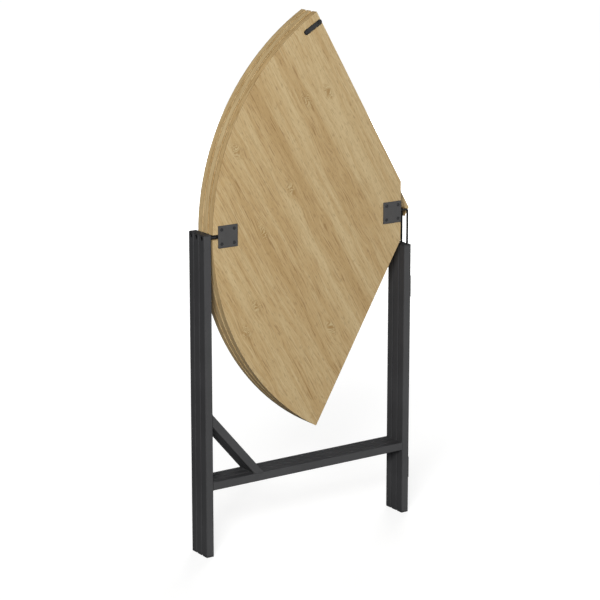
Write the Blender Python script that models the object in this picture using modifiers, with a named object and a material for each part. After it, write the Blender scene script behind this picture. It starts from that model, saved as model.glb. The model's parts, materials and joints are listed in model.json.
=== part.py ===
"""Gateleg table: a round top in three sector leaves, each turning in its own folding gate.

Metres, +Z up, modelled folded. X runs across the gates, from the outer legs to the centre of the
open table, and Y from the front gate to the rear gate. The origin is under the middle of the
folded table. Opened, the outer gates swing out to a three-legged star and the leaves tip level.
"""
from math import atan2, cos, pi, radians, sin, tan

import bmesh
import bpy
from mathutils import Matrix, Vector

# ---- driving dimensions ---------------------------------------------------------------------
SWING_ANGLE = radians(120)   # each outer gate's opening angle, and the angle of one leaf
FRAME_WIDTH = 0.560          # one gate, outer leg's outside to inner leg's outside
TUBE_SIZE = 0.019            # square steel tube
TUBE_WALL = 0.0015
TUBE_CORNER = 0.0015         # outside corner radius of the tube
GATE_GAP = 0.003             # air between two folded gates
PIVOT_HEIGHT = 0.732         # floor to the leaves' turning axis
INNER_LEG_DROP = 0.082       # turning axis down to the top of the inner leg's cap
LEAF_TO_STRETCHER = 0.084    # leaf's lower corner down to the stretcher
BRACE_RISE = 0.143           # stretcher's top up to where the brace's centre line meets the leg
BRACE_RUN = 0.122            # leg's inside to where the same line meets the stretcher

LEAF_THICKNESS = 0.016
LEAF_RIM_GAP = 0.0045        # outer leg to the leaf's rim
LEAF_SEAM = 0.001            # gap between two leaves of the open top
LEAF_CORNER_CUT = 0.040      # corner cut off the outer gates' leaves, from the table's centre
LEAF_STEPS = 48              # straight steps in the rim

PIN_RADIUS = 0.0055          # outer pivot pin
PIN_REACH = 0.038            # its length under the outer plate
ROD_RADIUS = 0.0025          # inner pivot rod
ROD_BEND = 0.006             # its bend, on the centre line
ROD_FROM_END = 0.0045        # inner leg's outside to the rod's centre line
ROD_DEPTH = 0.030            # how far the rod stands in its cap
ROD_REACH = 0.030            # its length under the inner plate

PLATE_SIZE = 0.050
PLATE_THICKNESS = 0.002
PLATE_CORNER = 0.003
PLATE_FROM_RIM = 0.0135      # rim to the outer plate
PLATE_FROM_CUT = 0.0003      # corner cut to the inner plate
SCREW_INSET = 0.009          # plate's edge to a screw's centre
SCREW_RADIUS = 0.0018
SCREW_HEAD_RADIUS = 0.0038
SCREW_HEAD_HEIGHT = 0.0008
SCREW_DEPTH = 0.011          # into the leaf

LATCH_LENGTH = 0.052
LATCH_WIDTH = 0.011
LATCH_THICKNESS = 0.0025
LATCH_FROM_RIM = 0.023       # rim to the latch's centre line, along the straight edge
LATCH_SCREW_FROM_EDGE = 0.008
LATCH_SCREW_RADIUS = 0.002

CAP_FLANGE = 0.002           # plastic cap's height on top of a leg
FOOT_FLANGE = 0.004          # plastic foot's height under a leg
PLUG_DEPTH = 0.014           # how far a cap or foot goes into its tube

HINGE_LENGTH = 0.050
HINGE_THICKNESS = 0.0015
KNUCKLE_RADIUS = 0.0032
KNUCKLE_SHARE = 0.020        # length of the moving strap's knuckle
HINGE_PIN_RADIUS = 0.0015
LOWER_HINGE_HEIGHT = {"front": 0.110, "rear": 0.230}   # floor to a lower hinge's middle
UPPER_HINGE_DROP = {"front": 0.100, "rear": 0.180}     # inner leg's top to an upper hinge's middle

# ---- clearances -----------------------------------------------------------------------------
SEAT = 0.0003                # between two pieces that touch or turn in each other
KNUCKLE_AIR = 0.00095        # knuckle to the legs that it passes
FITTING_AIR = 0.001          # a leaf's fittings to the next leaf
OVERCUT = 0.004              # how far a cutter runs past the face it opens

# ---- sizes that follow ----------------------------------------------------------------------
HALF_TUBE = TUBE_SIZE / 2
HALF_LEAF = LEAF_THICKNESS / 2
HALF_SECTOR = SWING_ANGLE / 2
FITTINGS = SEAT + max(PLATE_THICKNESS, SEAT + LATCH_THICKNESS) + SCREW_HEAD_HEIGHT
PITCH = max(TUBE_SIZE + GATE_GAP, LEAF_THICKNESS + FITTINGS + FITTING_AIR)
HINGE_X = FRAME_WIDTH + KNUCKLE_RADIUS + KNUCKLE_AIR
CENTRE_X = HINGE_X + PITCH / (2 * tan(HALF_SECTOR))
RIM_X = TUBE_SIZE + LEAF_RIM_GAP
LEAF_RADIUS = CENTRE_X - RIM_X
OUTER_LEG_HEIGHT = PIVOT_HEIGHT + HALF_LEAF
INNER_LEG_HEIGHT = PIVOT_HEIGHT - INNER_LEG_DROP
RAIL_TOP = PIVOT_HEIGHT - LEAF_RADIUS * sin(HALF_SECTOR) - LEAF_TO_STRETCHER
OUTER_PLATE_X = RIM_X + PLATE_FROM_RIM
PIN_END = OUTER_PLATE_X + PIN_REACH
INNER_PLATE_X = CENTRE_X - LEAF_CORNER_CUT - PLATE_FROM_CUT - PLATE_SIZE
ROD_X = FRAME_WIDTH - ROD_FROM_END
ROD_END = INNER_PLATE_X + PLATE_SIZE - ROD_REACH
LEAF_TIP = CENTRE_X - LEAF_SEAM / 2 / sin(HALF_SECTOR)
X_SHIFT = -LEAF_TIP / 2
FRONT_REACH = PITCH + max(HALF_TUBE, HALF_LEAF + FITTINGS)
BACK_REACH = PITCH + HALF_TUBE
Y_SHIFT = (FRONT_REACH - BACK_REACH) / 2
GATE_Y = {"front": Y_SHIFT - PITCH, "middle": Y_SHIFT, "rear": Y_SHIFT + PITCH}
OUTWARD = {"front": -1, "rear": 1}
CORNER_CUT = {"front": LEAF_CORNER_CUT, "middle": 0.0, "rear": LEAF_CORNER_CUT}
ACROSS = Vector((1, 0, 0))
BACK = Vector((0, 1, 0))
UP = Vector((0, 0, 1))


def at(x, y, z):
    """A point whose x is given from the outer leg's outside."""
    return Vector((x + X_SHIFT, y, z))


# ---- scene and materials --------------------------------------------------------------------
for old in list(bpy.data.objects):
    bpy.data.objects.remove(old, do_unlink=True)

parts = bpy.data.collections.new("gateleg_table")
cutters = bpy.data.collections.new("cutters")
bpy.context.scene.collection.children.link(parts)
bpy.context.scene.collection.children.link(cutters)


def material(name, colour, roughness, metallic):
    """A Principled material with its colour, roughness and metallic value."""
    made = bpy.data.materials.new(name)
    made.use_nodes = True
    made.diffuse_color = (*colour, 1)
    shader = made.node_tree.nodes["Principled BSDF"]
    shader.inputs["Base Color"].default_value = (*colour, 1)
    shader.inputs["Roughness"].default_value = roughness
    shader.inputs["Metallic"].default_value = metallic
    return made


COATED_STEEL = material("powder_coated_steel", (0.045, 0.046, 0.050), 0.55, 0.0)
OAK_BOARD = material("oak_faced_board", (0.60, 0.42, 0.22), 0.60, 0.0)
BLACK_PLASTIC = material("black_plastic", (0.025, 0.025, 0.027), 0.50, 0.0)
ZINC_STEEL = material("zinc_plated_steel", (0.45, 0.45, 0.46), 0.35, 1.0)


# ---- modelling helpers ----------------------------------------------------------------------
def link(made, look):
    """Put an object with the table's parts, or with the cutters if it has no look."""
    if look is None:
        made.hide_render = True
        made.display_type = "WIRE"
        cutters.objects.link(made)
    else:
        made.data.materials.append(look)
        parts.objects.link(made)
    return made


def add_object(name, bm, location, look):
    """Turn a bmesh into a named object."""
    mesh = bpy.data.meshes.new(name)
    bm.to_mesh(mesh)
    bm.free()
    made = bpy.data.objects.new(name, mesh)
    made.location = location
    return link(made, look)


def box_mesh(size, corner=0.0, along=UP, segments=2):
    """A box about its centre; the edges that run along one axis can be rounded."""
    bm = bmesh.new()
    bmesh.ops.create_cube(bm, size=1.0)
    bmesh.ops.scale(bm, vec=size, verts=bm.verts)
    if corner > 0:
        edges = [edge for edge in bm.edges
                 if abs((edge.verts[0].co - edge.verts[1].co).normalized().dot(along)) > 0.9]
        bmesh.ops.bevel(bm, geom=edges, offset=corner, segments=segments, profile=0.5,
                        affect="EDGES")
    return bm


def box(name, low, high, look=None, corner=0.0, along=UP):
    """A box between two corners, with its object at its centre."""
    return add_object(name, box_mesh(high - low, corner, along), (low + high) / 2, look)


def cylinder(name, radius, start, end, look=None, sides=16):
    """A cylinder between two points."""
    bm = bmesh.new()
    run = end - start
    turn = run.to_track_quat("Z", "Y").to_matrix().to_4x4()
    bmesh.ops.create_cone(bm, cap_ends=True, segments=sides, radius1=radius, radius2=radius,
                          depth=run.length, matrix=turn)
    made = add_object(name, bm, (start + end) / 2, look)
    smooth(made)
    return made


def smooth(made):
    """Smooth shading with the sharp edges kept."""
    made.data.shade_smooth()
    made.data.set_sharp_from_angle(angle=radians(40))


def screw(name, seat, radius, depth, sunk=0.0, look=None):
    """A low-headed screw driven along +Y at the given point, its head sunk into that face."""
    profile = [(0, SCREW_HEAD_HEIGHT), (SCREW_HEAD_RADIUS, SCREW_HEAD_HEIGHT),
               (SCREW_HEAD_RADIUS, -sunk), (radius, -sunk), (radius, -depth), (0, -depth)]
    mesh = bpy.data.meshes.new(name)
    mesh.from_pydata([(x, 0, z) for x, z in profile],
                     [(i, i + 1) for i in range(len(profile) - 1)], [])
    made = bpy.data.objects.new(name, mesh)
    made.location = seat
    made.rotation_euler = (pi / 2, 0, 0)
    turned = made.modifiers.new("turned", "SCREW")
    turned.steps = turned.render_steps = 12
    turned.use_merge_vertices = True
    turned.merge_threshold = 0.00001
    turned.use_smooth_shade = False
    return link(made, look)


def boolean(target, tool, operation="DIFFERENCE"):
    """Cut or join with the exact solver."""
    step = target.modifiers.new(tool.name, "BOOLEAN")
    step.operation = operation
    step.solver = "EXACT"
    step.object = tool


def axis_empty(name, location):
    """An empty that stands on a joint's axis."""
    made = bpy.data.objects.new(name, None)
    made.location = location
    made.empty_display_size = 0.03
    parts.objects.link(made)
    return made


def hang(pieces, axis, place):
    """Parent pieces to a joint's empty, which stands at the given place, without moving them."""
    for piece in pieces:
        piece.parent = axis
        piece.matrix_parent_inverse = Matrix.Translation(place).inverted()


# ---- gate frame -----------------------------------------------------------------------------
def tube(name, low, high, along):
    """Square steel tube, open at both ends."""
    made = box(name, low, high, COATED_STEEL, TUBE_CORNER, along)
    wall = Vector((TUBE_WALL, TUBE_WALL, TUBE_WALL)) - along * (TUBE_WALL + OVERCUT)
    boolean(made, box(f"{name}_inside", low + wall, high - wall))
    return made


def end_cap(name, x, y, edge, inward, flange, depth):
    """Plastic end piece: a flange the size of the tube and a plug that fills its inside."""
    half = HALF_TUBE
    inside = HALF_TUBE - TUBE_WALL - SEAT
    near, far = sorted((edge, edge + inward * flange))
    made = box(name, at(x - half, y - half, near), at(x + half, y + half, far),
               BLACK_PLASTIC, TUBE_CORNER)
    near, far = sorted((edge + inward * flange / 2, edge + inward * (flange + SEAT + depth)))
    plug = box(f"{name}_plug", at(x - inside, y - inside, near), at(x + inside, y + inside, far))
    boolean(made, plug, "UNION")
    return made


def leg(gate, side, x, height, cap_depth):
    """Upright tube with its foot and its top cap."""
    y = GATE_Y[gate]
    middle = x + HALF_TUBE
    foot = end_cap(f"{gate}_{side}_foot", middle, y, 0.0, 1, FOOT_FLANGE, PLUG_DEPTH)
    cap = end_cap(f"{gate}_{side}_cap", middle, y, height, -1, CAP_FLANGE, cap_depth)
    upright = tube(f"{gate}_{side}_leg", at(x, y - HALF_TUBE, FOOT_FLANGE + SEAT),
                   at(x + TUBE_SIZE, y + HALF_TUBE, height - CAP_FLANGE - SEAT), UP)
    return upright, foot, cap


def stretcher(gate):
    """Lower rail between the two legs."""
    y = GATE_Y[gate]
    return tube(f"{gate}_stretcher", at(TUBE_SIZE + SEAT, y - HALF_TUBE, RAIL_TOP - TUBE_SIZE),
                at(FRAME_WIDTH - TUBE_SIZE - SEAT, y + HALF_TUBE, RAIL_TOP), ACROSS)


def brace(gate):
    """Slanting tube from the outer leg down to the stretcher, mitred at both ends."""
    y = GATE_Y[gate]
    top = at(TUBE_SIZE, y, RAIL_TOP + BRACE_RISE)
    bottom = at(TUBE_SIZE + BRACE_RUN, y, RAIL_TOP)
    run = bottom - top
    spare = 2 * TUBE_SIZE
    length = run.length + 2 * spare
    bore = TUBE_SIZE - 2 * TUBE_WALL
    made = add_object(f"{gate}_brace", box_mesh((TUBE_SIZE, TUBE_SIZE, length), TUBE_CORNER),
                      (top + bottom) / 2, COATED_STEEL)
    inside = add_object(f"{gate}_brace_inside", box_mesh((bore, bore, length + OVERCUT)),
                        (top + bottom) / 2, None)
    for piece in (made, inside):
        piece.rotation_euler = (0, atan2(run.x, run.z), 0)
    reach = TUBE_SIZE
    beyond = 4 * TUBE_SIZE
    leg_cut = box(f"{gate}_brace_leg_cut", at(-beyond, y - reach, 0),
                  at(TUBE_SIZE + SEAT, y + reach, RAIL_TOP + BRACE_RISE + beyond))
    rail_cut = box(f"{gate}_brace_rail_cut", at(-beyond, y - reach, RAIL_TOP - beyond),
                   at(TUBE_SIZE + BRACE_RUN + beyond, y + reach, RAIL_TOP + SEAT))
    for tool in (inside, leg_cut, rail_cut):
        boolean(made, tool)
    return made


def pivot_pin(gate, outer_leg):
    """Steel pin through the outer leg's inner wall, on the leaf's axis."""
    y = GATE_Y[gate]
    pin = cylinder(f"{gate}_pivot_pin", PIN_RADIUS, at(TUBE_WALL + SEAT, y, PIVOT_HEIGHT),
                   at(PIN_END, y, PIVOT_HEIGHT), COATED_STEEL, 24)
    hole = cylinder(f"{gate}_pin_hole", PIN_RADIUS + SEAT, at(HALF_TUBE, y, PIVOT_HEIGHT),
                    at(TUBE_SIZE + OVERCUT, y, PIVOT_HEIGHT), None, 24)
    boolean(outer_leg, hole)
    return pin


def notch_cap(gate, cap):
    """Slot the outer cap's plug from below, so that it goes in over the pivot pin."""
    y = GATE_Y[gate]
    room = PIN_RADIUS + SEAT
    low = at(-OVERCUT, y - room, PIVOT_HEIGHT - PLUG_DEPTH - room)
    boolean(cap, box(f"{gate}_cap_notch", low,
                     at(TUBE_SIZE + OVERCUT, y + room, PIVOT_HEIGHT + room)))


def pivot_rod(gate, inner_cap):
    """Bent steel rod from the inner leg up to the leaf's axis and along it."""
    foot_z = INNER_LEG_HEIGHT - ROD_DEPTH
    foot = at(ROD_X, GATE_Y[gate], foot_z)
    bend_steps = 6
    points = [(0, 0)]
    for step in range(bend_steps + 1):
        turn = step * pi / 2 / bend_steps
        points.append((-ROD_BEND * (1 - cos(turn)),
                       PIVOT_HEIGHT - ROD_BEND * (1 - sin(turn)) - foot_z))
    points.append((ROD_END - ROD_X, PIVOT_HEIGHT - foot_z))
    curve = bpy.data.curves.new(f"{gate}_pivot_rod", "CURVE")
    curve.dimensions = "3D"
    curve.bevel_depth = ROD_RADIUS
    curve.bevel_resolution = 3
    curve.use_fill_caps = True
    spline = curve.splines.new("POLY")
    spline.points.add(len(points) - 1)
    for point, (x, z) in zip(spline.points, points):
        point.co = (x, 0, z, 1)
    rod = bpy.data.objects.new(f"{gate}_pivot_rod", curve)
    rod.location = foot
    link(rod, COATED_STEEL)
    socket = cylinder(f"{gate}_rod_socket", ROD_RADIUS + SEAT, foot - UP * SEAT,
                      foot + UP * (ROD_DEPTH + OVERCUT))
    boolean(inner_cap, socket)
    return rod


def gate_frame(gate):
    """All the pieces of one gate, without its leaf."""
    outer = leg(gate, "outer", 0.0, OUTER_LEG_HEIGHT, PLUG_DEPTH)
    inner = leg(gate, "inner", FRAME_WIDTH - TUBE_SIZE, INNER_LEG_HEIGHT, ROD_DEPTH + OVERCUT)
    notch_cap(gate, outer[2])
    return [*outer, *inner, stretcher(gate), brace(gate),
            pivot_pin(gate, outer[0]), pivot_rod(gate, inner[2])]


# ---- leaf and its fittings ------------------------------------------------------------------
def leaf_board(gate):
    """Sector board: a radius swept round the centre, trimmed and given its thickness."""
    bm = bmesh.new()
    centre = bm.verts.new((0, 0, 0))
    rim = bm.verts.new((-LEAF_RADIUS * cos(HALF_SECTOR), 0, -LEAF_RADIUS * sin(HALF_SECTOR)))
    edge = bm.edges.new((centre, rim))
    bmesh.ops.spin(bm, geom=[centre, rim, edge], cent=(0, 0, 0), axis=(0, 1, 0),
                   angle=SWING_ANGLE, steps=LEAF_STEPS, use_merge=False)
    bmesh.ops.remove_doubles(bm, verts=bm.verts, dist=1e-6)
    trims = []
    for side in (1, -1):
        outward = Vector((sin(HALF_SECTOR), 0, side * cos(HALF_SECTOR)))
        trims.append((outward * -LEAF_SEAM / 2, outward))
    if CORNER_CUT[gate] > 0:
        trims.append((ACROSS * -CORNER_CUT[gate], ACROSS))
    for point, normal in trims:
        bmesh.ops.bisect_plane(bm, geom=bm.verts[:] + bm.edges[:] + bm.faces[:], dist=1e-6,
                               plane_co=point, plane_no=normal, clear_outer=True)
    bmesh.ops.dissolve_limit(bm, angle_limit=radians(1), verts=bm.verts, edges=bm.edges)
    bmesh.ops.recalc_face_normals(bm, faces=bm.faces)
    made = add_object(f"{gate}_leaf", bm, at(CENTRE_X, GATE_Y[gate], PIVOT_HEIGHT), OAK_BOARD)
    thick = made.modifiers.new("thickness", "SOLIDIFY")
    thick.thickness = LEAF_THICKNESS
    thick.offset = 0
    return made


def groove(gate, name, x_low, x_high, half_height, below=0.0):
    """Cutter for a groove on the leaf's axis, open to the underside and as deep as it is high."""
    y = GATE_Y[gate]
    return box(f"{gate}_{name}",
               at(x_low, y - HALF_LEAF - OVERCUT, PIVOT_HEIGHT - half_height - below),
               at(x_high, y + half_height, PIVOT_HEIGHT + half_height))


def cut_grooves(gate, board):
    """Room for the pivot pin and the pivot rod in the board's underside."""
    pin_room = PIN_RADIUS + SEAT
    rod_room = ROD_RADIUS + SEAT
    boolean(board, groove(gate, "pin_groove", RIM_X - OVERCUT, PIN_END + SEAT, pin_room))
    boolean(board, groove(gate, "rod_groove", ROD_END - SEAT, ROD_X + rod_room, rod_room))
    if CENTRE_X - CORNER_CUT[gate] > ROD_X - ROD_BEND - rod_room:
        lower_edge = (CENTRE_X - ROD_X + ROD_BEND + rod_room) * tan(HALF_SECTOR)
        boolean(board, groove(gate, "rod_slot", ROD_X - ROD_BEND - rod_room, ROD_X + rod_room,
                              rod_room, lower_edge))


def shank_holes(name, underside_points, radius):
    """Cutter with one blind hole for each screw."""
    bm = bmesh.new()
    turn = BACK.to_track_quat("Z", "Y").to_matrix().to_4x4()
    length = SCREW_DEPTH + SEAT + OVERCUT
    for point in underside_points:
        middle = point + BACK * (length / 2 - OVERCUT)
        bmesh.ops.create_cone(bm, cap_ends=True, segments=12, radius1=radius + SEAT,
                              radius2=radius + SEAT, depth=length,
                              matrix=Matrix.Translation(middle) @ turn)
    return add_object(name, bm, (0, 0, 0), None)


def pivot_plate(gate, name, x_low, board):
    """Square steel plate that closes a pivot's groove, with its four screws."""
    underside = GATE_Y[gate] - HALF_LEAF
    back = underside - SEAT
    half = PLATE_SIZE / 2
    made = box(f"{gate}_{name}_plate", at(x_low, back - PLATE_THICKNESS, PIVOT_HEIGHT - half),
               at(x_low + PLATE_SIZE, back, PIVOT_HEIGHT + half), COATED_STEEL, PLATE_CORNER, BACK)
    reach = half - SCREW_INSET
    middle = at(x_low + half, underside, PIVOT_HEIGHT)
    places = [middle + ACROSS * i * reach + UP * j * reach for i in (-1, 1) for j in (-1, 1)]
    stack = SEAT + PLATE_THICKNESS
    for number, place in enumerate(places):
        driven = screw(f"{made.name}_screw_{number}", place - BACK * stack, SCREW_RADIUS,
                       stack + SCREW_DEPTH, PLATE_THICKNESS / 2)
        boolean(made, driven, "UNION")
    boolean(board, shank_holes(f"{made.name}_holes", places, SCREW_RADIUS))
    return made


def latch(gate, board):
    """Flat turn bar with round ends on the upper straight edge, and its screw."""
    along = LEAF_RADIUS - LATCH_FROM_RIM
    inward = LATCH_SCREW_FROM_EDGE + LEAF_SEAM / 2
    pivot = at(CENTRE_X - along * cos(HALF_SECTOR) - inward * sin(HALF_SECTOR),
               GATE_Y[gate] - HALF_LEAF,
               PIVOT_HEIGHT + along * sin(HALF_SECTOR) - inward * cos(HALF_SECTOR))
    bm = box_mesh((LATCH_LENGTH, LATCH_THICKNESS, LATCH_WIDTH), LATCH_WIDTH * 0.49, BACK, 6)
    bmesh.ops.translate(bm, vec=ACROSS * (LATCH_SCREW_FROM_EDGE - LATCH_LENGTH / 2),
                        verts=bm.verts)
    bar = add_object(f"{gate}_latch", bm, pivot - BACK * (SEAT + LATCH_THICKNESS / 2),
                     COATED_STEEL)
    bar.rotation_euler = (0, HALF_SECTOR - pi / 2, 0)
    stack = 2 * SEAT + LATCH_THICKNESS
    boolean(bar, cylinder(f"{gate}_latch_hole", LATCH_SCREW_RADIUS + SEAT,
                          pivot - BACK * (stack + OVERCUT), pivot + BACK * OVERCUT))
    fixing = screw(f"{gate}_latch_screw", pivot - BACK * stack, LATCH_SCREW_RADIUS,
                   stack + SCREW_DEPTH, look=ZINC_STEEL)
    boolean(board, shank_holes(f"{gate}_latch_screw_hole", [pivot], LATCH_SCREW_RADIUS))
    return bar, fixing, pivot


def leaf_assembly(gate):
    """The board with its grooves, plates, screws and latch, on the empty of its axis."""
    board = leaf_board(gate)
    cut_grooves(gate, board)
    outer_plate = pivot_plate(gate, "outer", OUTER_PLATE_X, board)
    inner_plate = pivot_plate(gate, "inner", INNER_PLATE_X, board)
    bar, fixing, pivot = latch(gate, board)
    centre = at(CENTRE_X, GATE_Y[gate], PIVOT_HEIGHT)
    leaf_axis = axis_empty(f"{gate}_leaf_axis", centre)
    latch_axis = axis_empty(f"{gate}_latch_axis", pivot)
    hang([board, outer_plate, inner_plate, fixing, latch_axis], leaf_axis, centre)
    hang([bar], latch_axis, pivot)
    return leaf_axis


# ---- hinges between the gates ---------------------------------------------------------------
def hinge_strap(name, outward, pivot, missing):
    """Welded strap on an inner leg's end face, with its share of the knuckle."""
    half = HINGE_LENGTH / 2
    face = FRAME_WIDTH + SEAT
    flap_width = PITCH / 2 + HALF_TUBE - TUBE_CORNER
    near, far = sorted((pivot.y, pivot.y + outward * flap_width))
    strap = box(name, at(face, near, pivot.z - half),
                at(face + HINGE_THICKNESS, far, pivot.z + half), COATED_STEEL)
    boolean(strap, cylinder(f"{name}_knuckle", KNUCKLE_RADIUS, pivot - UP * half,
                            pivot + UP * half, None, 20), "UNION")
    clear = KNUCKLE_RADIUS + SEAT
    for number, (low, high) in enumerate(missing):
        window = box(f"{name}_window_{number}", at(FRAME_WIDTH, pivot.y - clear, pivot.z + low),
                     at(HINGE_X + clear, pivot.y + clear, pivot.z + high))
        boolean(strap, window)
    boolean(strap, cylinder(f"{name}_bore", HINGE_PIN_RADIUS + SEAT, pivot - UP * HINGE_LENGTH,
                            pivot + UP * HINGE_LENGTH, None, 16))
    return strap


def gate_hinge(side, level, height):
    """One hinge between the middle gate and an outer gate; returns the piece that swings."""
    pivot = at(HINGE_X, Y_SHIFT + OUTWARD[side] * PITCH / 2, height)
    half = HINGE_LENGTH / 2
    share = KNUCKLE_SHARE / 2
    past = half + OVERCUT
    name = f"{side}_{level}_hinge"
    hinge_strap(f"{name}_fixed", -OUTWARD[side], pivot, [(-share - SEAT, share + SEAT)])
    moving = hinge_strap(f"{name}_moving", OUTWARD[side], pivot, [(-past, -share), (share, past)])
    cylinder(f"{name}_pin", HINGE_PIN_RADIUS, pivot - UP * half, pivot + UP * half, ZINC_STEEL)
    return moving


# ---- assembly -------------------------------------------------------------------------------
frames = {}
leaf_axes = {}
for gate_name in ("front", "middle", "rear"):
    frames[gate_name] = gate_frame(gate_name)
    leaf_axes[gate_name] = leaf_assembly(gate_name)

for side_name in ("front", "rear"):
    levels = (("lower", LOWER_HINGE_HEIGHT[side_name]),
              ("upper", INNER_LEG_HEIGHT - UPPER_HINGE_DROP[side_name]))
    swinging = [gate_hinge(side_name, level, height) for level, height in levels]
    axis_place = at(HINGE_X, Y_SHIFT + OUTWARD[side_name] * PITCH / 2, 0)
    swing_axis = axis_empty(f"{side_name}_gate_axis", axis_place)
    hang([*frames[side_name], *swinging, leaf_axes[side_name]], swing_axis, axis_place)
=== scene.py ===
import json
import math

import bpy
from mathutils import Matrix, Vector


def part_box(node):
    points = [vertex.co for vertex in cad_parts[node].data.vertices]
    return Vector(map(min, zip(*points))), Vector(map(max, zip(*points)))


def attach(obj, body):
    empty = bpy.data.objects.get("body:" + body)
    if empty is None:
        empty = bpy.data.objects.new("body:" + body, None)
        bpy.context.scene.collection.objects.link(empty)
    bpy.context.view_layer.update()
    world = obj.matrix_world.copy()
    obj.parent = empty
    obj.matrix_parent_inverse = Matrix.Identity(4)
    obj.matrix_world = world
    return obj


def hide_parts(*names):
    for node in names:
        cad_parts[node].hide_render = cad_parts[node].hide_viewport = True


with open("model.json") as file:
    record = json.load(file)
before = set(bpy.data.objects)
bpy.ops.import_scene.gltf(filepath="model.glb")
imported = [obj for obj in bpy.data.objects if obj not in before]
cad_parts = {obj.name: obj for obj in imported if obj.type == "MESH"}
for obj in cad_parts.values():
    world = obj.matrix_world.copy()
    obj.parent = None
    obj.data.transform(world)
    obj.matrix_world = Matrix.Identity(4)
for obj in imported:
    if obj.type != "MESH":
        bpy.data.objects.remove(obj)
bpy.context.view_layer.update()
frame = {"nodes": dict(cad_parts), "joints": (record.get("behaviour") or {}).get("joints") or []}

# ---- Viewpoint -------------------------------------------------------------------------------
# The folded table is seen from its front left, a little above the top of the boards, through a
# long lens that keeps the legs nearly upright.
CAMERA_PLACE = (-2.827, -4.181, 1.838)
CAMERA_TURN = 33.94          # degrees to the right of +Y
CAMERA_DIP = 13.57           # degrees below level
LENS_LENGTH = 138.15         # mm
FILM_WIDTH = 36              # mm
LENS_SHIFT = -0.05           # as a share of the film's width

bpy.ops.object.select_all(action="DESELECT")
bpy.ops.object.camera_add(
    location=CAMERA_PLACE,
    rotation=(math.radians(90 - CAMERA_DIP), 0, math.radians(-CAMERA_TURN)),
)
camera = bpy.context.object
camera.name = "viewpoint"
camera.data.lens = LENS_LENGTH
camera.data.sensor_width = FILM_WIDTH
camera.data.shift_y = LENS_SHIFT
bpy.context.scene.camera = camera
bpy.context.scene.view_settings.view_transform = "Standard"
bpy.context.scene.view_settings.look = "None"

# ---- Studio ----------------------------------------------------------------------------------
# A pale paper floor inside a ring of the same paper, in a dim room. One large soft box stands to
# the front left and a weaker one behind at the right. A third, low at the front right, only shows
# in glossy surfaces. The paper gives no light back.
FLOOR_RADIUS = 12.0
RING_HEIGHT = 3.2
PAPER_SIDES = 96
GLOW_STARTS, GLOW_ENDS = 0.4, 3.0      # metres from the middle of the floor
GLOW_NEAR, GLOW_FAR = 0.76, 0.97       # the paper's own brightness there
MOTTLE_SCALE = 3.0                     # cells a metre
ROOM_LIGHT = 0.13


def linear(hex_code):
    """An sRGB hex colour as the linear RGBA that shaders take."""
    parts = [int(hex_code[i:i + 2], 16) / 255 for i in (0, 2, 4)]
    return [p / 12.92 if p <= 0.04045 else ((p + 0.055) / 1.055) ** 2.4 for p in parts] + [1.0]


def add(tree, kind, inputs=None, stops=None, **settings):
    """Adds a node: settings are its own, inputs are values or sockets, stops a ramp's colours."""
    node = tree.nodes.new("ShaderNode" + kind)
    for name, value in settings.items():
        setattr(node, name, value)
    for name, value in (inputs or {}).items():
        if isinstance(value, bpy.types.NodeSocket):
            tree.links.new(value, node.inputs[name])
        else:
            node.inputs[name].default_value = value
    if stops:
        ramp = node.color_ramp
        ramp.elements[0].position, ramp.elements[-1].position = stops[0][0], stops[-1][0]
        for place, _ in stops[1:-1]:
            ramp.elements.new(place)
        for element, (_, colour) in zip(ramp.elements, stops):
            element.color = colour
    return node


def new_material(name):
    """An empty material of that name, and its node tree."""
    material = bpy.data.materials.new(name)
    material.use_nodes = True
    material.node_tree.nodes.clear()
    return material, material.node_tree


bpy.ops.mesh.primitive_circle_add(vertices=PAPER_SIDES, radius=FLOOR_RADIUS, fill_type="NGON")
floor = bpy.context.object
floor.name = "studio_floor"
bpy.ops.object.mode_set(mode="EDIT")
bpy.ops.mesh.inset(thickness=FLOOR_RADIUS / 2)
bpy.ops.object.mode_set(mode="OBJECT")
bpy.ops.mesh.primitive_circle_add(vertices=PAPER_SIDES, radius=FLOOR_RADIUS, fill_type="NOTHING")
ring = bpy.context.object
ring.name = "studio_ring"
bpy.ops.object.mode_set(mode="EDIT")
bpy.ops.mesh.select_all(action="SELECT")
bpy.ops.mesh.extrude_edges_move(TRANSFORM_OT_translate={"value": (0, 0, RING_HEIGHT)})
bpy.ops.object.mode_set(mode="OBJECT")
floor.visible_diffuse = floor.visible_glossy = False
ring.visible_diffuse = ring.visible_glossy = False

# matt white studio paper, bright of itself, with a very slight mottle
paper, tree = new_material("studio_paper")
place = add(tree, "TexCoord")
mottle = add(tree, "TexNoise", {"Vector": place.outputs["Object"], "Scale": MOTTLE_SCALE, "Detail": 3.0})
tint = add(tree, "ValToRGB", {"Fac": mottle.outputs["Fac"]},
           stops=[(0.3, linear("9c9c9b")), (0.7, linear("a3a3a2"))])
reach = add(tree, "VectorMath", {0: place.outputs["Object"]}, operation="LENGTH")
glow = add(tree, "MapRange", {
    "Value": reach.outputs["Value"], "From Min": GLOW_STARTS, "From Max": GLOW_ENDS,
    "To Min": GLOW_NEAR, "To Max": GLOW_FAR}, interpolation_type="SMOOTHSTEP")
skin = add(tree, "BsdfPrincipled", {
    "Base Color": tint.outputs["Color"], "Roughness": 0.9, "Specular IOR Level": 0.0,
    "Emission Color": (1.0, 1.0, 1.0, 1.0), "Emission Strength": glow.outputs["Result"]})
add(tree, "OutputMaterial", {"Surface": skin.outputs["BSDF"]})
floor.data.materials.append(paper)
ring.data.materials.append(paper)

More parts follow.
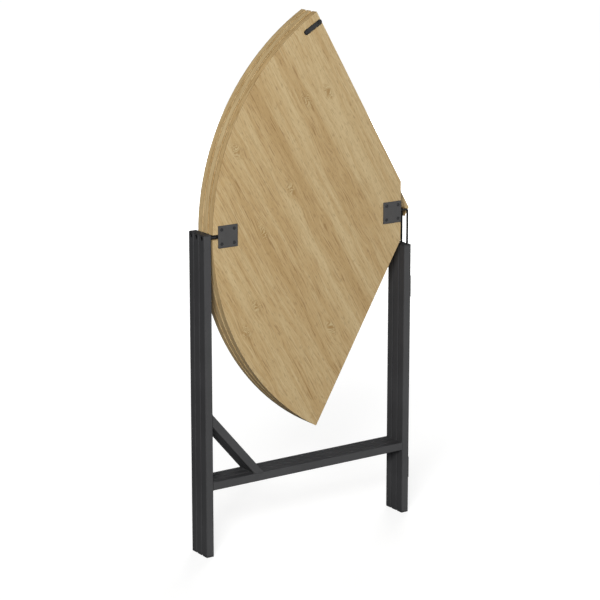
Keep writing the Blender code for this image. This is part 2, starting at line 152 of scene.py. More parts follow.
room = bpy.data.worlds.new("studio_room")
room.use_nodes = True
room.node_tree.nodes.clear()
dim = add(room.node_tree, "Background", {"Color": linear("f2f4f8"), "Strength": ROOM_LIGHT})
add(room.node_tree, "OutputWorld", {"Surface": dim.outputs["Background"]})
bpy.context.scene.world = room

# soft boxes: spot, the point that each faces, width and height in metres, power in watts, and
# whether it lights matt surfaces and shows in glossy ones
SOFT_BOXES = (
    ("front_left_soft_box", (-3.5, -3.9, 2.9), (0.0, 0.0, 0.65), 1.7, 1.7, 330.0, True, True),
    ("back_right_soft_box", (3.8, 4.0, 1.5), (0.0, 0.0, 0.65), 2.4, 2.2, 290.0, True, False),
    ("front_right_mirror_box", (1.9, -2.7, 0.0), (0.0, 0.0, 0.5), 3.4, 3.0, 58.0, False, True),
)
for name, spot, aim, width, height, power, lights_matt, shows_in_gloss in SOFT_BOXES:
    bpy.ops.object.light_add(type="AREA", location=spot)
    lamp = bpy.context.object
    lamp.name = name
    lamp.rotation_euler = (Vector(aim) - Vector(spot)).to_track_quat("-Z", "Y").to_euler()
    lamp.data.shape = "RECTANGLE"
    lamp.data.size, lamp.data.size_y, lamp.data.energy = width, height, power
    lamp.visible_camera = False
    lamp.visible_diffuse, lamp.visible_glossy = lights_matt, shows_in_gloss

# ---- Three boards ----------------------------------------------------------------------------
# Each gate carries one third of the round top: 16 mm board with a pale oak melamine facing whose
# grain runs along the upper straight edge, and a band of the same oak ironed onto its rim.
GATES = ("front", "middle", "rear")
BOARD_EDGE = 0.0006          # the eased arris
EASED_ANGLE = 32             # edges turned by more than this many degrees are eased
FLAT_SMOOTH = 20             # faces that meet at less than this many degrees are shaded as one
MERGE_DISTANCE = 0.00001
SAME_PLANE = 0.3             # degrees between faces that are one flat face
BUMP_DEPTH = 0.0002

# The middle of the opened round top, on the boards' tilting axis. The hinge lies half the gates'
# pitch to the side of it, and a third of a turn opens a gate, which gives how far past it is.
HALF_SECTOR = math.radians(60)
joint_place = {joint["name"]: Vector(joint["pos_m"]) for joint in frame["joints"]}
hinge_place = joint_place["front_gate_swing"]
tilt_place = joint_place["middle_leaf_lean"]
LEAF_CENTRE = Vector((
    hinge_place.x + (tilt_place.y - hinge_place.y) / math.tan(HALF_SECTOR), 0.0, tilt_place.z))
LEAF_RADIUS = LEAF_CENTRE.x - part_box("middle_leaf")[0].x
GRAIN = Vector((math.cos(HALF_SECTOR), 0.0, -math.sin(HALF_SECTOR)))
ACROSS = Vector((math.sin(HALF_SECTOR), 0.0, math.cos(HALF_SECTOR)))

# the print, in metres along the grain and across it
KNOT_SPACING = (0.170, 0.085)
KNOT_PUSH = 0.05             # how strongly the grain gives way round a knot
WAVER_SPACING = (0.260, 0.090)
WAVER = 0.014
CURL_SPACING = (0.016, 0.011)
CURLS = 34.0                 # radians between the pattern's lowest and highest value
PLAIN_KNOTS = 0.70           # the share of knots that have no heart
# the band's glue line, darkened further as painted shade along the arris, from the middle of the board's
# thickness
GLUE_AND_SHADE_STARTS, GLUE_AND_SHADE_FULL = 0.0069, 0.0074
# where each board, face and rim lies along the print, so that no two show the same stretch
BOARD_STEP = 1.7
FACE_STEP = 5.3              # once for a board's front face, three times for its back
RIM_STEP = 2.9
UPPER_RIM_STEP = 1.1
STRAIGHT_RIM_START = 20
# a rim face is on the round side if its normal is this close to the radius, as a cosine
ROUND_SIDE = 0.9


def select_only(piece):
    """Makes piece the one selected and active object."""
    bpy.ops.object.select_all(action="DESELECT")
    piece.select_set(True)
    bpy.context.view_layer.objects.active = piece


def ease_edges(piece, edge):
    """Rounds by that much the edges of piece, the active object, that turn by over EASED_ANGLE."""
    ease = piece.modifiers.new("eased_edges", "BEVEL")
    ease.width, ease.segments = edge, 2
    ease.limit_method, ease.angle_limit = "ANGLE", math.radians(EASED_ANGLE)
    bpy.ops.object.modifier_apply(modifier=ease.name)


def eased_copy(node_name, piece_name, edge, smooth=FLAT_SMOOTH):
    """A merged copy of a CAD part in the same place, with its edges eased by that much.
    Faces that meet at less than smooth degrees are shaded as one."""
    piece = bpy.data.objects.new(piece_name, frame["nodes"][node_name].data.copy())
    bpy.context.scene.collection.objects.link(piece)
    piece.data.name = piece_name
    piece.data.materials.clear()
    select_only(piece)
    bpy.ops.mesh.customdata_custom_splitnormals_clear()
    bpy.ops.object.mode_set(mode="EDIT")
    bpy.ops.mesh.select_all(action="SELECT")
    bpy.ops.mesh.remove_doubles(threshold=MERGE_DISTANCE)
    bpy.ops.mesh.dissolve_limited(angle_limit=math.radians(SAME_PLANE))
    bpy.ops.object.mode_set(mode="OBJECT")
    if edge:
        ease_edges(piece, edge)
    bpy.ops.object.shade_smooth_by_angle(angle=math.radians(smooth))
    return piece


def oak_melamine(name, rim):
    """Pale oak print under matt melamine: bands, streaks, pores and small knots. The grain runs
    along U of the oak_grain map, in metres. A rim has its band's glue lines, darkened further as painted
    shade along the arrises, either side of V = 0."""
    material, tree = new_material(name)
    uv = add(tree, "UVMap", uv_map="oak_grain")
    # small knots, about one in each KNOT_SPACING, push the grain apart and round them
    knot_place = add(tree, "Mapping", {
        "Vector": uv.outputs["UV"], "Scale": (1 / KNOT_SPACING[0], 1 / KNOT_SPACING[1], 1.0)})
    knot = add(tree, "TexVoronoi", {"Vector": knot_place.outputs["Vector"], "Scale": 1.0,
                                    "Randomness": 1.0}, voronoi_dimensions="2D")
    offset = add(tree, "VectorMath", {0: knot_place.outputs["Vector"], 1: knot.outputs["Position"]},
                 operation="SUBTRACT")
    offset_parts = add(tree, "SeparateXYZ", {"Vector": offset.outputs["Vector"]})
    near = add(tree, "MapRange", {"Value": knot.outputs["Distance"], "From Min": 0.0, "From Max": 0.34,
                                  "To Min": 1.0, "To Max": 0.0}, interpolation_type="SMOOTHSTEP")
    push = add(tree, "Math", {0: offset_parts.outputs["Y"], 1: near.outputs["Result"]},
               operation="MULTIPLY")
    push = add(tree, "Math", {0: push.outputs["Value"], 1: -KNOT_PUSH}, operation="MULTIPLY")
    # a slow waver of a few millimetres keeps the grain from running dead straight
    waver_place = add(tree, "Mapping", {
        "Vector": uv.outputs["UV"], "Scale": (1 / WAVER_SPACING[0], 1 / WAVER_SPACING[1], 1.0)})
    waver = add(tree, "TexNoise", {"Vector": waver_place.outputs["Vector"], "Scale": 1.0, "Detail": 2.0},
                noise_dimensions="2D")
    waver = add(tree, "Math", {0: waver.outputs["Fac"], 1: WAVER, 2: -WAVER / 2}, operation="MULTIPLY_ADD")
    shift = add(tree, "Math", {0: push.outputs["Value"], 1: waver.outputs["Value"]}, operation="ADD")
    shift_vector = add(tree, "CombineXYZ", {"Y": shift.outputs["Value"]})
    grain = add(tree, "VectorMath", {0: uv.outputs["UV"], 1: shift_vector.outputs["Vector"]},
                operation="ADD")

    # each layer: length along the grain and width across it, in metres, and its detail. Fibres,
    # streaks and pores are under 1 mm wide on a real print, and are drawn 2 to 3.4 mm wide so that
    # they show.
    layers = {}
    for layer, length, width, detail in (
        ("bands", 0.90, 0.042, 1.0),
        ("figure", 0.22, 0.0075, 2.0),
        ("fibres", 0.060, 0.0026, 3.0),
        ("streaks", 0.065, 0.0034, 2.0),
        ("pores", 0.016, 0.0020, 1.0),
    ):
        spread = add(tree, "Mapping", {"Vector": grain.outputs["Vector"],
                                       "Scale": (1 / length, 1 / width, 1.0)})
        layers[layer] = add(tree, "TexNoise", {"Vector": spread.outputs["Vector"], "Scale": 1.0,
                                               "Detail": detail}, noise_dimensions="2D").outputs["Fac"]
    # the ground tone: three layers, weighed to make one
    mixed = add(tree, "Math", {0: layers["bands"], 1: 0.38}, operation="MULTIPLY")
    mixed = add(tree, "Math", {0: layers["figure"], 1: 0.27, 2: mixed.outputs["Value"]},
                operation="MULTIPLY_ADD")
    mixed = add(tree, "Math", {0: layers["fibres"], 1: 0.35, 2: mixed.outputs["Value"]},
                operation="MULTIPLY_ADD")
    wood = add(tree, "ValToRGB", {"Fac": mixed.outputs["Value"]},
               stops=[(0.36, linear("b79866")), (0.45, linear("bfa170")), (0.50, linear("c4a878")),
                      (0.55, linear("c8ae7f")), (0.64, linear("d0b88a"))])
    # short darker streaks, more of them in the darker bands, and fine pores
    streak = add(tree, "MapRange", {"Value": layers["streaks"], "From Min": 0.59, "From Max": 0.72,
                                    "To Min": 0.0, "To Max": 0.62})
    gather = add(tree, "MapRange", {"Value": layers["bands"], "From Min": 0.38, "From Max": 0.60,
                                    "To Min": 1.0, "To Max": 0.35})
    streak = add(tree, "Math", {0: streak.outputs["Result"], 1: gather.outputs["Result"]},
                 operation="MULTIPLY")
    wood = add(tree, "MixRGB", {"Fac": streak.outputs["Value"], "Color1": wood.outputs["Color"],
                                "Color2": linear("8c6a3c")})
    pore = add(tree, "MapRange", {"Value": layers["pores"], "From Min": 0.60, "From Max": 0.74,
                                  "To Min": 0.0, "To Max": 0.42})
    wood = add(tree, "MixRGB", {"Fac": pore.outputs["Result"], "Color1": wood.outputs["Color"],
                                "Color2": linear("8a6c42")})
    # the heart of three knots in ten: pale curls a few millimetres apart, of no set shape
    curl_place = add(tree, "Mapping", {
        "Vector": grain.outputs["Vector"], "Scale": (1 / CURL_SPACING[0], 1 / CURL_SPACING[1], 1.0)})
    curl = add(tree, "TexNoise", {"Vector": curl_place.outputs["Vector"], "Scale": 1.0, "Detail": 1.0,
                                  "Distortion": 0.6}, noise_dimensions="2D")
    curl = add(tree, "Math", {0: curl.outputs["Fac"], 1: CURLS}, operation="MULTIPLY")
    curl = add(tree, "Math", {0: curl.outputs["Value"]}, operation="SINE")
    curl_tone = add(tree, "MapRange", {"Value": curl.outputs["Value"], "From Min": -0.6, "From Max": 0.9})
    curl_tone = add(tree, "ValToRGB", {"Fac": curl_tone.outputs["Result"]},
                    stops=[(0.1, linear("a5834f")), (0.9, linear("cbb689"))])
    ragged = add(tree, "Math", {0: layers["streaks"], 1: 0.16, 2: knot.outputs["Distance"]},
                 operation="MULTIPLY_ADD")
    heart = add(tree, "MapRange", {"Value": ragged.outputs["Value"], "From Min": 0.11, "From Max": 0.25,
                                   "To Min": 0.85, "To Max": 0.0}, interpolation_type="SMOOTHSTEP")
    chosen = add(tree, "SeparateColor", {"Color": knot.outputs["Color"]})
    chosen = add(tree, "Math", {0: chosen.outputs["Red"], 1: PLAIN_KNOTS}, operation="GREATER_THAN")
    heart = add(tree, "Math", {0: heart.outputs["Result"], 1: chosen.outputs["Value"]},
                operation="MULTIPLY")
    wood = add(tree, "MixRGB", {"Fac": heart.outputs["Value"], "Color1": wood.outputs["Color"],
                                "Color2": curl_tone.outputs["Color"]})
    if rim:
        # a thin dark line beside either arris: partly the band's glue line, partly painted shade along the
        # arris
        uv_parts = add(tree, "SeparateXYZ", {"Vector": uv.outputs["UV"]})
        side = add(tree, "Math", {0: uv_parts.outputs["Y"]}, operation="ABSOLUTE")
        glue_and_shade = add(tree, "MapRange", {"Value": side.outputs["Value"], "From Min": GLUE_AND_SHADE_STARTS,
                                      "From Max": GLUE_AND_SHADE_FULL, "To Min": 0.0, "To Max": 0.75})
        # the dark line mixed in here is painted shade along the arris as well as the glue line
        wood = add(tree, "MixRGB", {"Fac": glue_and_shade.outputs["Result"], "Color1": wood.outputs["Color"],
                                    "Color2": linear("5d4628")})
    gloss = add(tree, "MapRange", {"Value": layers["fibres"], "From Min": 0.3, "From Max": 0.7,
                                   "To Min": 0.50, "To Max": 0.62})
    relief = add(tree, "Math", {0: pore.outputs["Result"], 1: -0.8, 2: layers["fibres"]},
                 operation="MULTIPLY_ADD")
    bump = add(tree, "Bump", {"Height": relief.outputs["Value"], "Strength": 0.12, "Distance": BUMP_DEPTH})
    skin = add(tree, "BsdfPrincipled", {
        "Base Color": wood.outputs["Color"], "Roughness": gloss.outputs["Result"],
        "Specular IOR Level": 0.35, "IOR": 1.5, "Normal": bump.outputs["Normal"]})
    add(tree, "OutputMaterial", {"Surface": skin.outputs["BSDF"]})
    return material


# printed oak melamine, matt, with pressed pores: soft sheen, no deep shine
oak_face = oak_melamine("oak_melamine_facing", rim=False)
# the same print on a thin band, ironed on, with its glue line and painted shade beside either arris
oak_band = oak_melamine("oak_melamine_edge_band", rim=True)

for number, gate in enumerate(GATES):
    board = eased_copy(f"{gate}_leaf", f"{gate}_oak_board", BOARD_EDGE)
    low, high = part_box(f"{gate}_leaf")
    middle_y = (low.y + high.y) / 2
    board.data.materials.append(oak_face)
    board.data.materials.append(oak_band)
    while board.data.uv_layers:
        board.data.uv_layers.remove(board.data.uv_layers[0])
    grain_map = board.data.uv_layers.new(name="oak_grain")
    for face in board.data.polygons:
        normal = face.normal
        out = Vector((face.center.x, 0.0, face.center.z)) - LEAF_CENTRE
        flat = abs(normal.y) > 0.5
        face.material_index = 0 if flat else 1
        for loop in face.loop_indices:
            point = board.data.vertices[board.data.loops[loop].vertex_index].co
            arm = Vector((point.x, 0.0, point.z)) - LEAF_CENTRE
            if flat:
                steps = 1 if normal.y < 0 else 3
                along = GRAIN.dot(arm) + BOARD_STEP * number + FACE_STEP * steps
                grain_map.data[loop].uv = (along, ACROSS.dot(arm))
            elif normal.dot(out) > ROUND_SIDE * out.length:
                turn = math.atan2(point.z - LEAF_CENTRE.z, LEAF_CENTRE.x - point.x)
                along = LEAF_RADIUS * turn + RIM_STEP * number
                grain_map.data[loop].uv = (along, point.y - middle_y)
            else:
                upper = 1 if normal.z > 0 else 0
                along = arm.length + RIM_STEP * number + UPPER_RIM_STEP * upper + STRAIGHT_RIM_START
                grain_map.data[loop].uv = (along, point.y - middle_y)
    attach(board, f"leaf_{gate}")
    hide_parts(f"{gate}_leaf")

# ---- Gates -----------------------------------------------------------------------------------
# Each gate is 19 mm square steel tube, 1.5 mm wall: two legs, a stretcher and a slanting brace,
# welded, dressed and powder coated together in a dark grey-black fine texture.
TUBE_WALL = 0.0015
PIN_HOLE = 0.0050            # radius, a little under the pin's
PIN_HOLE_SIDES = 36
BEAD = 0.0011                # radius of the fillet weld that is left after dressing
BEAD_INSET = 0.0015          # from either face of the tube to the end of a weld
BEAD_SIDES = 10
BEAD_STEPS = 24              # ripples and dips along a weld
BEAD_END, BEAD_DIP = 0.45, 0.86        # a weld's thickness at its ends and in its dips
BEAD_SMOOTH = 50

# powder coat on steel: matt, with a very fine orange peel, drawn 1.4 mm coarse so that it shows,
# and faint clouds about 110 mm across
PEEL_SCALE = 700.0
CLOUD_SCALE = 9.0
coat, tree = new_material("black_grey_powder_coat")
place = add(tree, "TexCoord")
peel = add(tree, "TexNoise", {"Vector": place.outputs["Object"], "Scale": PEEL_SCALE, "Detail": 3.0})
cloud = add(tree, "TexNoise", {"Vector": place.outputs["Object"], "Scale": CLOUD_SCALE, "Detail": 2.0})
both = add(tree, "Math", {0: cloud.outputs["Fac"], 1: 0.55}, operation="MULTIPLY")
both = add(tree, "Math", {0: peel.outputs["Fac"], 1: 0.45, 2: both.outputs["Value"]},
           operation="MULTIPLY_ADD")
tone = add(tree, "ValToRGB", {"Fac": both.outputs["Value"]},
           stops=[(0.34, linear("303031")), (0.50, linear("363637")), (0.66, linear("3d3d3e"))])
shine = add(tree, "MapRange", {"Value": peel.outputs["Fac"], "From Min": 0.3, "From Max": 0.7,
                               "To Min": 0.52, "To Max": 0.62})
bump = add(tree, "Bump", {"Height": peel.outputs["Fac"], "Strength": 0.15, "Distance": BUMP_DEPTH})
skin = add(tree, "BsdfPrincipled", {
    "Base Color": tone.outputs["Color"], "Roughness": shine.outputs["Result"],
    "Specular IOR Level": 0.5, "Normal": bump.outputs["Normal"]})
add(tree, "OutputMaterial", {"Surface": skin.outputs["BSDF"]})


def cut_away(piece, cutter, name):
    """Cuts the shape of cutter out of piece, and removes cutter."""
    select_only(piece)
    cut = piece.modifiers.new(name, "BOOLEAN")
    cut.operation, cut.solver, cut.object = "DIFFERENCE", "EXACT", cutter
    bpy.ops.object.modifier_apply(modifier=cut.name)
    bpy.data.objects.remove(cutter)


def join_all(pieces):
    """Joins the pieces into the first of them."""
    select_only(pieces[0])
    for piece in pieces:
        piece.select_set(True)
    bpy.ops.object.join()


def weld_bead(x, z, y, width):
    """A rippled fillet weld of that width along Y, its centre in the corner at x, z."""
    bpy.ops.mesh.primitive_cylinder_add(
        vertices=BEAD_SIDES, radius=BEAD, depth=width, location=(x, y, z), rotation=(math.pi / 2, 0, 0))
    bead = bpy.context.object
    bpy.ops.object.transform_apply(location=True, rotation=True, scale=True)
    bpy.ops.object.mode_set(mode="EDIT")
    start = y - width / 2
    for step in range(1, BEAD_STEPS):
        bpy.ops.mesh.select_all(action="SELECT")
        bpy.ops.mesh.bisect(plane_co=(x, start + width * step / BEAD_STEPS, z), plane_no=(0, 1, 0))
    bpy.ops.object.mode_set(mode="OBJECT")
    for vertex in bead.data.vertices:
        step = round((vertex.co.y - start) / width * BEAD_STEPS)
        if step in (0, BEAD_STEPS):
            scale = BEAD_END
        else:
            scale = 1.0 if step % 2 else BEAD_DIP
        vertex.co.x = x + (vertex.co.x - x) * scale
        vertex.co.z = z + (vertex.co.z - z) * scale
    bpy.ops.object.shade_smooth_by_angle(angle=math.radians(BEAD_SMOOTH))
    return bead


def drill_pin_hole(tube, gate):
    """Opens the outer leg's outer wall over the end of its pin, which is plug welded there."""
    leg_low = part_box(f"{gate}_outer_leg")[0]
    pin_low, pin_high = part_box(f"{gate}_pivot_pin")
    bpy.ops.mesh.primitive_cylinder_add(
        vertices=PIN_HOLE_SIDES, radius=PIN_HOLE, depth=2 * TUBE_WALL, rotation=(0, math.pi / 2, 0),
        location=(leg_low.x, (pin_low.y + pin_high.y) / 2, (pin_low.z + pin_high.z) / 2))
    drill = bpy.context.object
    bpy.ops.object.transform_apply(location=True, rotation=True, scale=True)
    cut_away(tube, drill, "pin_hole")
    bpy.ops.object.shade_smooth_by_angle(angle=math.radians(FLAT_SMOOTH))


for gate in GATES:
    body = f"gate_{gate}"
    for part in ("outer_leg", "inner_leg", "stretcher", "brace"):
        tube = eased_copy(f"{gate}_{part}", f"{gate}_{part}_tube", 0)
        tube.data.materials.append(coat)
        if part == "outer_leg":
            drill_pin_hole(tube, gate)
        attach(tube, body)
        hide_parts(f"{gate}_{part}")

    # a weld in each corner where the stretcher meets a leg, and the brace a leg or the stretcher
    rail_low, rail_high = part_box(f"{gate}_stretcher")
    brace_low, brace_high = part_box(f"{gate}_brace")
    tube_side = rail_high.y - rail_low.y
    rise, run = brace_high.z - brace_low.z, brace_high.x - brace_low.x
    slant = math.hypot(rise, run)
    corners = [(rail_low.x, rail_low.z), (rail_low.x, rail_high.z),
               (rail_high.x, rail_low.z), (rail_high.x, rail_high.z),
               (brace_low.x, brace_high.z), (brace_low.x, brace_high.z - tube_side * slant / run),
               (brace_high.x, brace_low.z), (brace_high.x - tube_side * slant / rise, brace_low.z)]
    bead_width = tube_side - 2 * BEAD_INSET
    beads = [weld_bead(x, z, (rail_low.y + rail_high.y) / 2, bead_width) for x, z in corners]
    join_all(beads)
    welds = beads[0]
    welds.name = welds.data.name = f"{gate}_weld_beads"
    welds.data.materials.append(coat)
    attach(welds, body)

# ---- Square plates and their screws ----------------------------------------------------------
# Two 50 mm steel plates hold the pin and the rod in their grooves under each board. Each has
# rounded arrises and four low black screws with a cross recess.
PLATE_SIDE = 0.050
PLATE_THICKNESS = 0.002
PLATE_CORNER = 0.0008
PLATE_EDGE = 0.0004
SCREW_STEP = 0.016           # from the plate's centre to a screw, both ways
SCREW_FIRST_TURN = 17        # degrees, where the first screw stopped
SCREW_NEXT_TURN = 31         # degrees, how much further each next one did
HEAD_RADIUS = 0.0040
HEAD_HEIGHT = 0.0008
HEAD_EDGE = 0.0005
HEAD_SIDES = 28
HEAD_SMOOTH = 25
ROUND_SEGMENTS = 3           # of the plates' corners and the screw heads' rims
RECESS_LENGTH = 0.0046
RECESS_WIDTH = 0.0011
RECESS_DEPTH = 0.0006

# blackened steel: a matt black-grey, a little smoother than the coat, with rubbed cloudy patches
# about 26 mm across and a fine grit, drawn 2.4 mm coarse so that it shows
GRIT_SCALE = 420.0
RUB_SCALE = 38.0
blackened, tree = new_material("blackened_steel")
place = add(tree, "TexCoord")
grit = add(tree, "TexNoise", {"Vector": place.outputs["Object"], "Scale": GRIT_SCALE, "Detail": 4.0})
rub = add(tree, "TexNoise", {"Vector": place.outputs["Object"], "Scale": RUB_SCALE, "Detail": 3.0})
both = add(tree, "Math", {0: rub.outputs["Fac"], 1: 0.6}, operation="MULTIPLY")
both = add(tree, "Math", {0: grit.outputs["Fac"], 1: 0.4, 2: both.outputs["Value"]},
           operation="MULTIPLY_ADD")
tone = add(tree, "ValToRGB", {"Fac": both.outputs["Value"]},
           stops=[(0.34, linear("3b3a3a")), (0.50, linear("424141")), (0.66, linear("4b4a49"))])
shine = add(tree, "MapRange", {"Value": rub.outputs["Fac"], "From Min": 0.3, "From Max": 0.7,
                               "To Min": 0.46, "To Max": 0.60})
bump = add(tree, "Bump", {"Height": grit.outputs["Fac"], "Strength": 0.10, "Distance": BUMP_DEPTH})
skin = add(tree, "BsdfPrincipled", {
    "Base Color": tone.outputs["Color"], "Roughness": shine.outputs["Result"],
    "Specular IOR Level": 0.35, "Normal": bump.outputs["Normal"]})
add(tree, "OutputMaterial", {"Surface": skin.outputs["BSDF"]})

# black oxide on steel screws and bar: nearly black, an oily satin, its grain drawn 1.1 mm coarse
OXIDE_SCALE = 900.0
black_oxide, tree = new_material("black_oxide_steel")
place = add(tree, "TexCoord")
grit = add(tree, "TexNoise", {"Vector": place.outputs["Object"], "Scale": OXIDE_SCALE, "Detail": 3.0})
tone = add(tree, "ValToRGB", {"Fac": grit.outputs["Fac"]},
           stops=[(0.35, linear("0f0f10")), (0.65, linear("18181a"))])
shine = add(tree, "MapRange", {"Value": grit.outputs["Fac"], "From Min": 0.3, "From Max": 0.7,
                               "To Min": 0.30, "To Max": 0.42})
skin = add(tree, "BsdfPrincipled", {
    "Base Color": tone.outputs["Color"], "Roughness": shine.outputs["Result"],
    "Specular IOR Level": 0.3})
add(tree, "OutputMaterial", {"Surface": skin.outputs["BSDF"]})


def cut_cross_recess(piece, x, y, z, turn):
    """Sinks a cross recess, turned by that many degrees, into the screw head that faces -Y at y."""
    for quarter in (0, 90):
        bpy.ops.mesh.primitive_cube_add(
            size=1, location=(x, y, z), rotation=(0, math.radians(turn + quarter), 0))
        blade = bpy.context.object
        blade.scale = (RECESS_LENGTH, 2 * RECESS_DEPTH, RECESS_WIDTH)
        bpy.ops.object.transform_apply(location=True, rotation=True, scale=True)
        cut_away(piece, blade, "cross_recess")
    bpy.ops.object.shade_smooth_by_angle(angle=math.radians(HEAD_SMOOTH))


def select_edges(piece, wanted):
    """Selects the edges of piece whose two ends make wanted true, and leaves it in edit mode."""
    select_only(piece)
    bpy.ops.object.mode_set(mode="EDIT")
    bpy.ops.mesh.select_mode(type="EDGE")
    bpy.ops.mesh.select_all(action="DESELECT")
    bpy.ops.object.mode_set(mode="OBJECT")
    for edge in piece.data.edges:
        edge.select = wanted(*(piece.data.vertices[v].co for v in edge.vertices))
    bpy.ops.object.mode_set(mode="EDIT")


# one plate at the origin, its back at y = 0, with its four screws
bpy.ops.mesh.primitive_cube_add(size=1, location=(0, -PLATE_THICKNESS / 2, 0))
plate_model = bpy.context.object
plate_model.scale = (PLATE_SIDE, PLATE_THICKNESS, PLATE_SIDE)
bpy.ops.object.transform_apply(location=True, rotation=True, scale=True)
select_edges(plate_model, lambda p, q: abs(p.y - q.y) > PLATE_THICKNESS / 2)
bpy.ops.mesh.bevel(offset=PLATE_CORNER, segments=ROUND_SEGMENTS)
bpy.ops.object.mode_set(mode="OBJECT")
ease_edges(plate_model, PLATE_EDGE)
bpy.ops.object.shade_smooth_by_angle(angle=math.radians(FLAT_SMOOTH))
plate_model.data.materials.append(blackened)

plate_front = -PLATE_THICKNESS
plate_screws = []
for number, (i, k) in enumerate(((-1, -1), (-1, 1), (1, -1), (1, 1))):
    x, z = i * SCREW_STEP, k * SCREW_STEP
    bpy.ops.mesh.primitive_cylinder_add(
        vertices=HEAD_SIDES, radius=HEAD_RADIUS, depth=2 * HEAD_HEIGHT,
        location=(x, plate_front, z), rotation=(math.pi / 2, 0, 0))
    head = bpy.context.object
    bpy.ops.object.transform_apply(location=True, rotation=True, scale=True)
    select_edges(head, lambda p, q: max(p.y, q.y) < plate_front)
    bpy.ops.mesh.bevel(offset=HEAD_EDGE, segments=ROUND_SEGMENTS)
    bpy.ops.object.mode_set(mode="OBJECT")
    turn = SCREW_FIRST_TURN + SCREW_NEXT_TURN * number
    cut_cross_recess(head, x, plate_front - HEAD_HEIGHT, z, turn)
    head.data.materials.append(black_oxide)
    plate_screws.append(head)
join_all([plate_model] + plate_screws)

for gate in GATES:
    for end in ("outer", "inner"):
        node = f"{gate}_{end}_plate"
        low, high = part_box(node)
        select_only(plate_model)
        bpy.ops.object.duplicate()
        plate = bpy.context.object
        plate.name = plate.data.name = f"{gate}_{end}_plate_and_screws"
        back_y = low.y + HEAD_HEIGHT + PLATE_THICKNESS
        plate.location = ((low.x + high.x) / 2, back_y, (low.z + high.z) / 2)
        bpy.ops.object.transform_apply(location=True, rotation=True, scale=True)
        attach(plate, f"leaf_{gate}")
        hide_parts(node)
bpy.data.objects.remove(plate_model)

# ---- Turn latches ----------------------------------------------------------------------------
# A flat steel bar, black oxide finished, turns on one screw near the upper edge of each board,
# and reaches out under the next board when the table is open. Its free end has a dished thumb stud.
LATCH_EDGE = 0.0005
STUD_RADIUS = 0.0044
STUD_HEIGHT = 0.0009
STUD_EDGE = 0.0003
STUD_SIDES = 32
STUD_REACH = 0.0385          # from the screw to the stud, square to the board's upper edge
DISH_RIM = 0.0012
DISH_DEPTH = 0.0006
PAN_EDGE = 0.0003
PAN_TURN = 30                # degrees

for gate in GATES:
    latch = eased_copy(f"{gate}_latch", f"{gate}_latch_bar", LATCH_EDGE)
    latch.data.materials.append(black_oxide)
    face_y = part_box(f"{gate}_latch")[0].y
    low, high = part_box(f"{gate}_latch_screw")
    stud_place = (low + high) / 2 - ACROSS * STUD_REACH
    bpy.ops.mesh.primitive_cylinder_add(
        vertices=STUD_SIDES, radius=STUD_RADIUS, depth=2 * STUD_HEIGHT,
        location=(stud_place.x, face_y, stud_place.z), rotation=(math.pi / 2, 0, 0))
    stud = bpy.context.object
    bpy.ops.object.transform_apply(location=True, rotation=True, scale=True)
    select_edges(stud, lambda p, q: max(p.y, q.y) < face_y)
    bpy.ops.mesh.select_mode(type="FACE")
    bpy.ops.mesh.inset(thickness=DISH_RIM)
    bpy.ops.transform.translate(value=(0, DISH_DEPTH, 0))
    bpy.ops.object.mode_set(mode="OBJECT")
    ease_edges(stud, STUD_EDGE)
    bpy.ops.object.shade_smooth_by_angle(angle=math.radians(HEAD_SMOOTH))
    stud.data.materials.append(black_oxide)
    join_all([latch, stud])
    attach(latch, f"turn_latch_{gate}")
    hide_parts(f"{gate}_latch")
    screw = eased_copy(f"{gate}_latch_screw", f"{gate}_latch_pan_screw", PAN_EDGE)
    cut_cross_recess(screw, (low.x + high.x) / 2, low.y, (low.z + high.z) / 2, PAN_TURN)
    screw.data.materials.append(black_oxide)
    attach(screw, f"leaf_{gate}")
    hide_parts(f"{gate}_latch_screw")

# ---- Pivot pins and bent rods ----------------------------------------------------------------
# An 11 mm pin from the outer leg and a bent 5 mm rod from the inner leg lie on one axis, on
# which the board tilts. Both are drawn steel bar with the latches' black oxide finish.
PIN_EDGE = 0.0004
PIN_SMOOTH = 40
ROD_SMOOTH = 50

for gate in GATES:
    pin = eased_copy(f"{gate}_pivot_pin", f"{gate}_turned_pin", PIN_EDGE, smooth=PIN_SMOOTH)
    pin.data.materials.append(black_oxide)
    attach(pin, f"pivot_{gate}")
    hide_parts(f"{gate}_pivot_pin")
    rod = eased_copy(f"{gate}_pivot_rod", f"{gate}_bent_rod", 0, smooth=ROD_SMOOTH)
    rod.data.materials.append(black_oxide)
    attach(rod, f"gate_{gate}")
    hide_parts(f"{gate}_pivot_rod")

# ---- Caps and feet ---------------------------------------------------------------------------
# Moulded plastic plugs close the legs at both ends: a thin cap on top and a 4 mm foot that
# spares the floor. Their rims are rounded, and their skin is finely spark textured.
MOULDED_EDGE = 0.0006

# ABS, injection moulded, spark-eroded texture drawn 2 mm coarse: flat black with a faint sheen
SPARK_SCALE = 500.0
plastic, tree = new_material("black_moulded_abs")
place = add(tree, "TexCoord")
spark = add(tree, "TexNoise", {"Vector": place.outputs["Object"], "Scale": SPARK_SCALE, "Detail": 4.0})
tone = add(tree, "ValToRGB", {"Fac": spark.outputs["Fac"]},
           stops=[(0.35, linear("2a2a2b")), (0.65, linear("323233"))])
shine = add(tree, "MapRange", {"Value": spark.outputs["Fac"], "From Min": 0.3, "From Max": 0.7,
                               "To Min": 0.52, "To Max": 0.66})
bump = add(tree, "Bump", {"Height": spark.outputs["Fac"], "Strength": 0.2, "Distance": BUMP_DEPTH})
skin = add(tree, "BsdfPrincipled", {
    "Base Color": tone.outputs["Color"], "Roughness": shine.outputs["Result"],
    "Specular IOR Level": 0.4, "IOR": 1.54, "Normal": bump.outputs["Normal"]})
add(tree, "OutputMaterial", {"Surface": skin.outputs["BSDF"]})

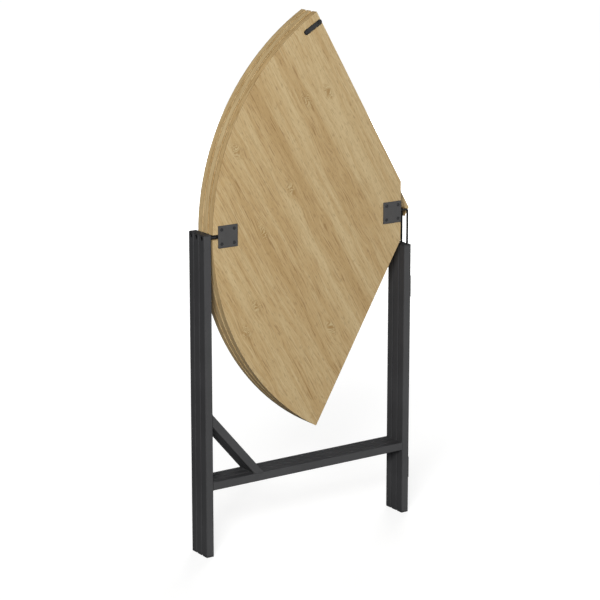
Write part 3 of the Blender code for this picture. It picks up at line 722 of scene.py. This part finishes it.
for gate in GATES:
    for leg in ("outer", "inner"):
        for part in ("cap", "foot"):
            node = f"{gate}_{leg}_{part}"
            plug = eased_copy(node, f"{gate}_{leg}_{part}_plug", MOULDED_EDGE)
            plug.data.materials.append(plastic)
            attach(plug, f"gate_{gate}")
            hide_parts(node)

# ---- Hinges ----------------------------------------------------------------------------------
# Four butt hinges join the outer gates' inner legs to the middle one's, the rear gate's pair in
# height between the front gate's: pressed steel straps, coated with the gates, rolled round a
# bright zinc plated pin.
HINGE_EDGE = 0.0002
HINGE_SMOOTH = 32

# zinc plate on steel: metal, pale, with a cloudy spangle of about 4 mm, and fine drawing lines
# along Z, drawn 0.7 mm coarse and 11 mm long
SPANGLE_SCALE = 260.0
LINES_SCALE = (1400.0, 1400.0, 90.0)
zinc, tree = new_material("bright_zinc_plate")
place = add(tree, "TexCoord")
lines_place = add(tree, "Mapping", {"Vector": place.outputs["Object"], "Scale": LINES_SCALE})
lines = add(tree, "TexNoise", {"Vector": lines_place.outputs["Vector"], "Scale": 1.0, "Detail": 2.0})
spangle = add(tree, "TexVoronoi", {"Vector": place.outputs["Object"], "Scale": SPANGLE_SCALE})
tone = add(tree, "ValToRGB", {"Fac": spangle.outputs["Distance"]},
           stops=[(0.1, linear("a9abae")), (0.8, linear("c3c5c7"))])
shine = add(tree, "MapRange", {"Value": lines.outputs["Fac"], "From Min": 0.3, "From Max": 0.7,
                               "To Min": 0.28, "To Max": 0.44})
bump = add(tree, "Bump", {"Height": lines.outputs["Fac"], "Strength": 0.08, "Distance": BUMP_DEPTH})
skin = add(tree, "BsdfPrincipled", {
    "Base Color": tone.outputs["Color"], "Metallic": 1.0, "Roughness": shine.outputs["Result"],
    "Normal": bump.outputs["Normal"]})
add(tree, "OutputMaterial", {"Surface": skin.outputs["BSDF"]})

for gate in ("front", "rear"):
    for level in ("lower", "upper"):
        for part, body, finish, slot in (
            ("fixed", "gate_middle", coat, "coated_steel"),
            ("moving", f"gate_{gate}", coat, "coated_steel"),
            ("pin", "gate_middle", zinc, "zinc_steel"),
        ):
            node = f"{gate}_{level}_hinge_{part}"
            piece = eased_copy(node, f"{gate}_{level}_hinge_{part}_steel", HINGE_EDGE, smooth=HINGE_SMOOTH)
            piece.data.materials.append(finish)
            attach(piece, body)
            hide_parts(node)

bpy.ops.object.select_all(action="DESELECT")
